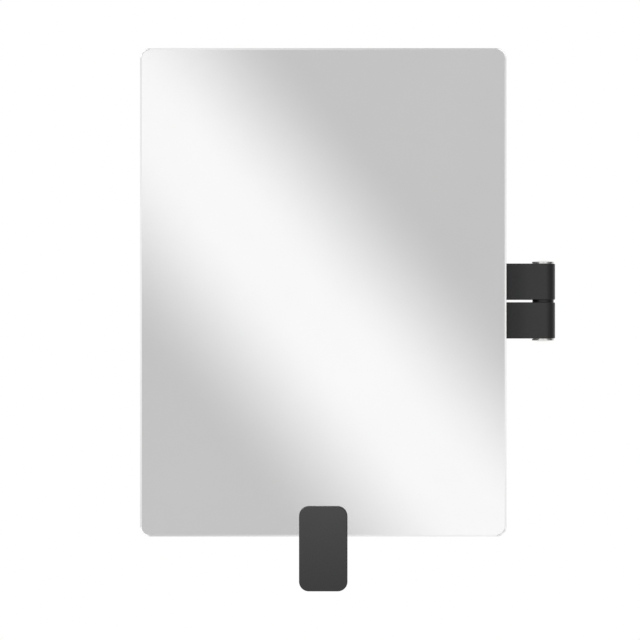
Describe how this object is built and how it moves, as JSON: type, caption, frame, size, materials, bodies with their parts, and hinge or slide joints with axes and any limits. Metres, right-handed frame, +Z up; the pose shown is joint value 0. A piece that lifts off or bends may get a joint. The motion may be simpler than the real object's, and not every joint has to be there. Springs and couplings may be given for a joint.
{
  "type": "pivot wall mirror",
  "caption": "Frameless wall mirror on a folding double arm with swivel and tilt, and a grip on its lower edge.",
  "frame": {"origin": "on the wall, at the back face of the wall bracket, behind the wall pivot and at half the height of the upper arm", "axes": "+Y into the wall, +Z up, +X towards the elbow of the folded arms; the mirror faces -Y"},
  "size_m": [0.513, 0.0927, 0.667],
  "materials": {
    "coated_aluminium": "cast, with a fine matt black powder coat",
    "coated_steel": "fine matt black powder coat",
    "cover_plastic": "matt",
    "grip_plastic": "fine matt grain",
    "bearing_plastic": "satin",
    "polished_chrome": "polished",
    "pin_steel": "turned",
    "zinc_plated_sheet": "zinc plated",
    "foam_tape": "foam",
    "safety_film": "satin",
    "silvering": "silver coat",
    "clear_glass": "float glass with a polished bevel",
    "pad_rubber": "matt"
  },
  "bodies": {
    "wall_mount": {"wall_bracket": "coated_aluminium", "wall_pin": "pin_steel", "wall_washers": "bearing_plastic"},
    "upper_arm": {"wall_arm": "coated_aluminium", "wall_arm_bushes": "bearing_plastic", "wall_arm_cover": "cover_plastic", "wall_arm_cover_screws": "pin_steel", "elbow_pin": "pin_steel", "elbow_grub_screw": "pin_steel", "elbow_spacer": "bearing_plastic", "elbow_cap_top": "polished_chrome", "elbow_cap_bottom": "polished_chrome"},
    "lower_arm": {"mirror_arm": "coated_aluminium", "mirror_arm_elbow_bushes": "bearing_plastic", "mirror_arm_bushes": "bearing_plastic", "mirror_arm_cover": "cover_plastic", "mirror_arm_cover_screws": "pin_steel"},
    "swivel": {"yoke": "coated_aluminium", "swivel_pin": "pin_steel", "swivel_washers": "bearing_plastic", "tilt_bushes": "bearing_plastic", "tilt_friction_washers": "bearing_plastic"},
    "mirror": {"tilt_bracket": "coated_steel", "tilt_bolt": "pin_steel", "tilt_disc_springs": "pin_steel", "tilt_nut": "pin_steel", "bracket_screws": "pin_steel", "carrier_plate": "zinc_plated_sheet", "mounting_tape": "foam_tape", "safety_film": "safety_film", "mirror_silvering": "silvering", "mirror_glass": "clear_glass", "grip_front": "grip_plastic", "grip_back": "grip_plastic", "grip_pads": "pad_rubber", "grip_screws": "pin_steel"}
  },
  "joints": [
    {"name": "wall_swing", "type": "hinge", "parent": "wall_mount", "child": "upper_arm", "pos_m": [0, -0.03, 0], "axis": [0, 0, -1], "range_deg": [0, 180]},
    {"name": "elbow", "type": "hinge", "parent": "upper_arm", "child": "lower_arm", "pos_m": [0.273, -0.03, -0.024], "axis": [0, 0, 1], "range_deg": [0, 180]},
    {"name": "mirror_swivel", "type": "hinge", "parent": "lower_arm", "child": "swivel", "pos_m": [0, -0.03, -0.048], "axis": [0, 0, -1], "range_deg": [0, 180]},
    {"name": "mirror_tilt", "type": "hinge", "parent": "swivel", "child": "mirror", "pos_m": [0, -0.063, -0.048], "axis": [1, 0, 0], "range_deg": [-5, 20]}
  ]
}
